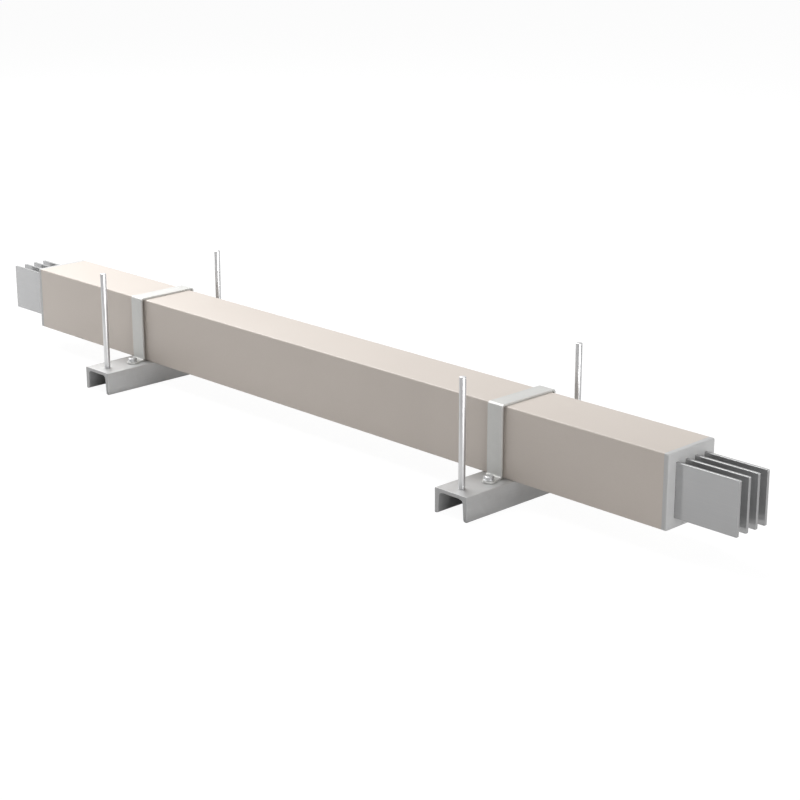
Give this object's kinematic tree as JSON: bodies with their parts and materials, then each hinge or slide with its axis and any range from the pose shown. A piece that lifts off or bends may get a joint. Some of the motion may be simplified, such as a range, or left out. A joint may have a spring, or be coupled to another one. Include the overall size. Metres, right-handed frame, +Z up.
{
  "type": "busway section",
  "caption": "Straight busway section: flat busbars in a closed rectangular housing, held by straps on steel channels with drop rods, for overhead power distribution.",
  "frame": {"origin": "on the floor below the middle of the housing, at the level of the channels' flange tips", "axes": "+X along the busway, +Y to the back, +Z up"},
  "size_m": [2.11, 0.37, 0.258],
  "materials": {
    "housing_paint": "satin powder coat",
    "end_plate": "fine matt moulding",
    "busbar": "tin-plated, smooth",
    "channel_steel": "galvanised, satin",
    "strap_steel": "galvanised, satin",
    "rod_steel": "bright zinc plate",
    "fastener_zinc": "bright zinc plate"
  },
  "bodies": {
    "root": {"housing": "housing_paint", "end_plate_left": "end_plate", "end_plate_right": "end_plate", "busbar_1": "busbar", "busbar_2": "busbar", "busbar_3": "busbar", "busbar_4": "busbar", "channel_left": "channel_steel", "channel_right": "channel_steel", "strap_left": "strap_steel", "strap_right": "strap_steel", "rod_left_front": "rod_steel", "rod_left_back": "rod_steel", "rod_right_front": "rod_steel", "rod_right_back": "rod_steel", "rod_nut_left_front": "fastener_zinc", "rod_nut_left_back": "fastener_zinc", "rod_nut_right_front": "fastener_zinc", "rod_nut_right_back": "fastener_zinc", "rod_washer_left_front": "fastener_zinc", "rod_washer_left_back": "fastener_zinc", "rod_washer_right_front": "fastener_zinc", "rod_washer_right_back": "fastener_zinc", "strap_bolt_left_front": "fastener_zinc", "strap_bolt_left_back": "fastener_zinc", "strap_bolt_right_front": "fastener_zinc", "strap_bolt_right_back": "fastener_zinc", "strap_washer_left_front": "fastener_zinc", "strap_washer_left_back": "fastener_zinc", "strap_washer_right_front": "fastener_zinc", "strap_washer_right_back": "fastener_zinc", "strap_nut_left_front": "fastener_zinc", "strap_nut_left_back": "fastener_zinc", "strap_nut_right_front": "fastener_zinc", "strap_nut_right_back": "fastener_zinc"}
  },
  "joints": []
}
